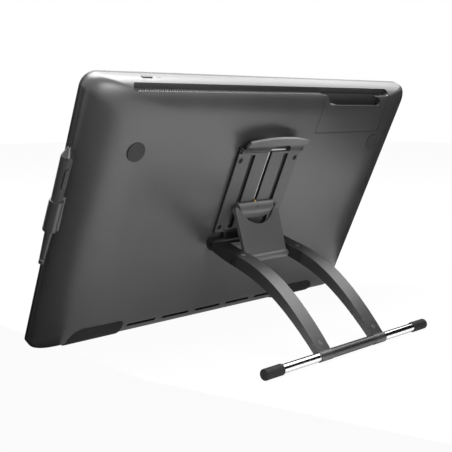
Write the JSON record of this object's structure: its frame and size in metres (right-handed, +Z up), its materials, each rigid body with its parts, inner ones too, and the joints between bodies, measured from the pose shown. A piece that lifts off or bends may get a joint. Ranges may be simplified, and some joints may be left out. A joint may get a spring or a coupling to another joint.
{
  "type": "pen display",
  "caption": "Pen display with a rounded moulded back, shortcut keys and a side pen holder, on a folding easel stand with a sliding brace, release lever and chrome foot bar.",
  "frame": {"origin": "on the table under the middle of the whole object as it stands", "axes": "+X to the right of someone who faces the screen, +Y towards the back where the stand is, +Z up"},
  "size_m": [0.6582, 0.331, 0.3756],
  "materials": {
    "housing": "fine moulded texture",
    "bezel": "fine matte",
    "glass": "etched",
    "panel": "dark display",
    "board": "solder mask",
    "chassis": "rolled",
    "socket": "plated",
    "socket_plastic": "moulded",
    "key": "satin",
    "grille": "moulded",
    "rubber": "soft",
    "lamp": "clear",
    "stand": "satin moulded",
    "painted": "satin paint",
    "leg": "fine speckle",
    "steel": "turned",
    "screw": "black",
    "chrome": "polished",
    "brass": "turned",
    "pen_shell": "satin",
    "pen_grip": "soft",
    "pen_trim": "satin"
  },
  "bodies": {
    "tablet": {"front_bezel": "bezel", "cover_glass": "glass", "lcd_panel": "panel", "sensor_board": "board", "chassis_plate": "chassis", "main_board": "board", "video_socket": "socket", "usb_socket": "socket", "power_socket": "socket_plastic", "key_boards": "board", "rear_cover": "housing", "vent_grille": "grille", "round_pads": "rubber", "rubber_feet": "rubber", "power_lamp": "lamp", "stand_bracket": "chassis", "track_plate": "stand", "plate_screws": "screw", "hinge_shaft": "steel", "lever_pin": "steel", "pen_holder": "pen_shell"},
    "port_lid": {"port_cover": "housing"},
    "power_key": {"power_button": "key"},
    "lever": {"release_lever": "stand"},
    "lock": {"lock_bar": "steel"},
    "legs": {"arms": "painted", "leg_left": "leg", "leg_right": "leg", "brace_pin": "steel", "arm_screws": "screw", "leg_plugs": "leg", "foot_bar": "chrome", "bar_sleeve": "leg", "bar_caps": "rubber"},
    "prop": {"brace": "painted", "carriage_pin": "steel"},
    "slider": {"carriage": "stand", "lock_pawl": "brass"},
    "pen": {"pen_barrel": "pen_shell", "pen_grip": "pen_grip", "pen_nose": "pen_trim"},
    "pen_rocker": {"pen_switch": "pen_trim"},
    "nib": {"pen_nib": "pen_shell"},
    "eraser": {"pen_eraser": "pen_shell"},
    "left_1_key": {"key_left_1": "key"},
    "left_2_key": {"key_left_2": "key"},
    "left_3_key": {"key_left_3": "key"},
    "left_4_key": {"key_left_4": "key"},
    "left_5_key": {"key_left_5": "key"},
    "left_6_key": {"key_left_6": "key"},
    "left_7_key": {"key_left_7": "key"},
    "left_8_key": {"key_left_8": "key"},
    "right_1_key": {"key_right_1": "key"},
    "right_2_key": {"key_right_2": "key"},
    "right_3_key": {"key_right_3": "key"},
    "right_4_key": {"key_right_4": "key"},
    "right_5_key": {"key_right_5": "key"},
    "right_6_key": {"key_right_6": "key"},
    "right_7_key": {"key_right_7": "key"},
    "right_8_key": {"key_right_8": "key"}
  },
  "joints": [
    {"name": "leg_fold", "type": "hinge", "parent": "tablet", "child": "legs", "pos_m": [0, -0.05213, 0.13125], "axis": [1, 0, 0], "range_deg": [0, 76]},
    {"name": "brace_turn", "type": "hinge", "parent": "legs", "child": "prop", "pos_m": [0, -0.00783, 0.11152], "axis": [1, 0, 0], "range_deg": [-108.76, 0.5]},
    {"name": "carriage_turn", "type": "hinge", "parent": "prop", "child": "slider", "pos_m": [0, -0.02931, 0.18129], "axis": [1, 0, 0], "range_deg": [-0.5, 32.76]},
    {"name": "lever_press", "type": "hinge", "parent": "tablet", "child": "lever", "pos_m": [0, 0.00509, 0.27084], "axis": [1, 0, 0], "range_deg": [0, 15], "stiffness_Nm_per_rad": 0.8},
    {"name": "lock_draw", "type": "slide", "parent": "tablet", "child": "lock", "axis": [0, 0.4067, 0.9135], "range_m": [0, 0.0025]},
    {"name": "port_cover_lift", "type": "slide", "parent": "tablet", "child": "port_lid", "axis": [0, 0.9135, -0.4067], "range_m": [0, 0.025]},
    {"name": "power_press", "type": "slide", "parent": "tablet", "child": "power_key", "axis": [0, -0.4067, -0.9135], "range_m": [0, 0.0008], "stiffness_N_per_m": 1200},
    {"name": "pen_draw", "type": "slide", "parent": "tablet", "child": "pen", "axis": [0, 0.4462, 0.8949], "range_m": [0, 0.11]},
    {"name": "switch_rock", "type": "hinge", "parent": "pen", "child": "pen_rocker", "pos_m": [0.3199, -0.03068, 0.24504], "axis": [1, 0, 0], "range_deg": [-2.5, 2.5], "stiffness_Nm_per_rad": 0.2},
    {"name": "nib_press", "type": "slide", "parent": "pen", "child": "nib", "axis": [0, -0.4462, -0.8949], "range_m": [0, 0.0005], "stiffness_N_per_m": 1500},
    {"name": "eraser_press", "type": "slide", "parent": "pen", "child": "eraser", "axis": [0, 0.4462, 0.8949], "range_m": [0, 0.001], "stiffness_N_per_m": 1000},
    {"name": "left_1_press", "type": "slide", "parent": "tablet", "child": "left_1_key", "axis": [0, 0.9135, -0.4067], "range_m": [0, 0.0008], "stiffness_N_per_m": 900},
    {"name": "left_2_press", "type": "slide", "parent": "tablet", "child": "left_2_key", "axis": [0, 0.9135, -0.4067], "range_m": [0, 0.0008], "stiffness_N_per_m": 900},
    {"name": "left_3_press", "type": "slide", "parent": "tablet", "child": "left_3_key", "axis": [0, 0.9135, -0.4067], "range_m": [0, 0.0008], "stiffness_N_per_m": 900},
    {"name": "left_4_press", "type": "slide", "parent": "tablet", "child": "left_4_key", "axis": [0, 0.9135, -0.4067], "range_m": [0, 0.0008], "stiffness_N_per_m": 900},
    {"name": "left_5_press", "type": "slide", "parent": "tablet", "child": "left_5_key", "axis": [0, 0.9135, -0.4067], "range_m": [0, 0.0008], "stiffness_N_per_m": 900},
    {"name": "left_6_press", "type": "slide", "parent": "tablet", "child": "left_6_key", "axis": [0, 0.9135, -0.4067], "range_m": [0, 0.0008], "stiffness_N_per_m": 900},
    {"name": "left_7_press", "type": "slide", "parent": "tablet", "child": "left_7_key", "axis": [0, 0.9135, -0.4067], "range_m": [0, 0.0008], "stiffness_N_per_m": 900},
    {"name": "left_8_press", "type": "slide", "parent": "tablet", "child": "left_8_key", "axis": [0, 0.9135, -0.4067], "range_m": [0, 0.0008], "stiffness_N_per_m": 900},
    {"name": "right_1_press", "type": "slide", "parent": "tablet", "child": "right_1_key", "axis": [0, 0.9135, -0.4067], "range_m": [0, 0.0008], "stiffness_N_per_m": 900},
    {"name": "right_2_press", "type": "slide", "parent": "tablet", "child": "right_2_key", "axis": [0, 0.9135, -0.4067], "range_m": [0, 0.0008], "stiffness_N_per_m": 900},
    {"name": "right_3_press", "type": "slide", "parent": "tablet", "child": "right_3_key", "axis": [0, 0.9135, -0.4067], "range_m": [0, 0.0008], "stiffness_N_per_m": 900},
    {"name": "right_4_press", "type": "slide", "parent": "tablet", "child": "right_4_key", "axis": [0, 0.9135, -0.4067], "range_m": [0, 0.0008], "stiffness_N_per_m": 900},
    {"name": "right_5_press", "type": "slide", "parent": "tablet", "child": "right_5_key", "axis": [0, 0.9135, -0.4067], "range_m": [0, 0.0008], "stiffness_N_per_m": 900},
    {"name": "right_6_press", "type": "slide", "parent": "tablet", "child": "right_6_key", "axis": [0, 0.9135, -0.4067], "range_m": [0, 0.0008], "stiffness_N_per_m": 900},
    {"name": "right_7_press", "type": "slide", "parent": "tablet", "child": "right_7_key", "axis": [0, 0.9135, -0.4067], "range_m": [0, 0.0008], "stiffness_N_per_m": 900},
    {"name": "right_8_press", "type": "slide", "parent": "tablet", "child": "right_8_key", "axis": [0, 0.9135, -0.4067], "range_m": [0, 0.0008], "stiffness_N_per_m": 900}
  ],
  "couplings": [
    {"joint": "brace_turn", "follows": "leg_fold", "ratio": -1.4245},
    {"joint": "carriage_turn", "follows": "leg_fold", "ratio": 0.42448},
    {"joint": "lock_draw", "follows": "lever_press", "m_per_rad": 0.0095493}
  ]
}
